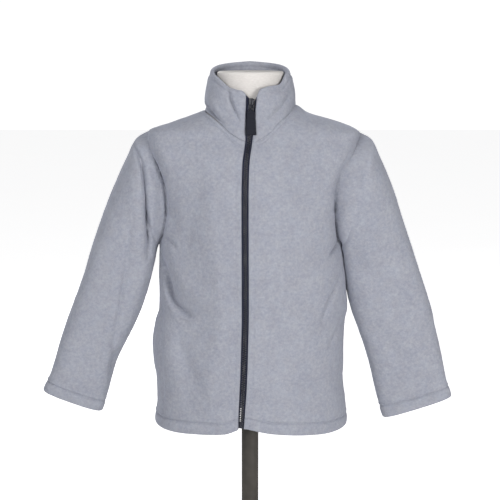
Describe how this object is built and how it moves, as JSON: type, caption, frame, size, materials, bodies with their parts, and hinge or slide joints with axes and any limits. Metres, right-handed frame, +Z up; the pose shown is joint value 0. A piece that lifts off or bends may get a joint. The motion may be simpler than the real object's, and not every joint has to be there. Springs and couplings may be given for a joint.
{
  "type": "fleece zip jacket on a limbless dress form",
  "caption": "Child's fleece jacket with a stand collar and a full front zip, worn by a limbless dress form on a pole with a round base.",
  "frame": {"origin": "centre of the base's underside, on the pole's axis", "axes": "+Z up along the pole; the jacket's front faces -Y; +X is the wearer's left"},
  "size_m": [0.6022, 0.3, 0.7918],
  "materials": {
    "fleece": "marled light blue-grey brushed fleece",
    "zip_tape": "navy woven tape",
    "zip_teeth": "navy moulded plastic, slightly glossy",
    "dark_metal": "dark painted metal",
    "pull_rubber": "navy-black moulded tab with ribs",
    "form_jersey": "off-white stretched jersey",
    "form_cap": "off-white painted cap"
  },
  "bodies": {
    "root": {"front_right": "fleece", "front_left": "fleece", "back": "fleece", "sleeve_right": "fleece", "sleeve_left": "fleece", "collar": "fleece", "zip_tape_right": "zip_tape", "zip_tape_left": "zip_tape", "zip_chain": "zip_teeth", "zip_box": "zip_teeth", "zip_slider": "dark_metal", "form_torso": "form_jersey", "form_neck_cap": "form_cap", "form_flange": "dark_metal", "form_pole": "dark_metal", "form_base": "dark_metal"},
    "pull": {"zip_pull_ring": "dark_metal", "zip_pull_tab": "pull_rubber"}
  },
  "joints": [
    {"name": "pull_swing", "type": "hinge", "parent": "root", "child": "pull", "pos_m": [0.00014, -0.06375, 0.73484], "axis": [-1, 0, 0], "range_deg": [0, 165]}
  ]
}
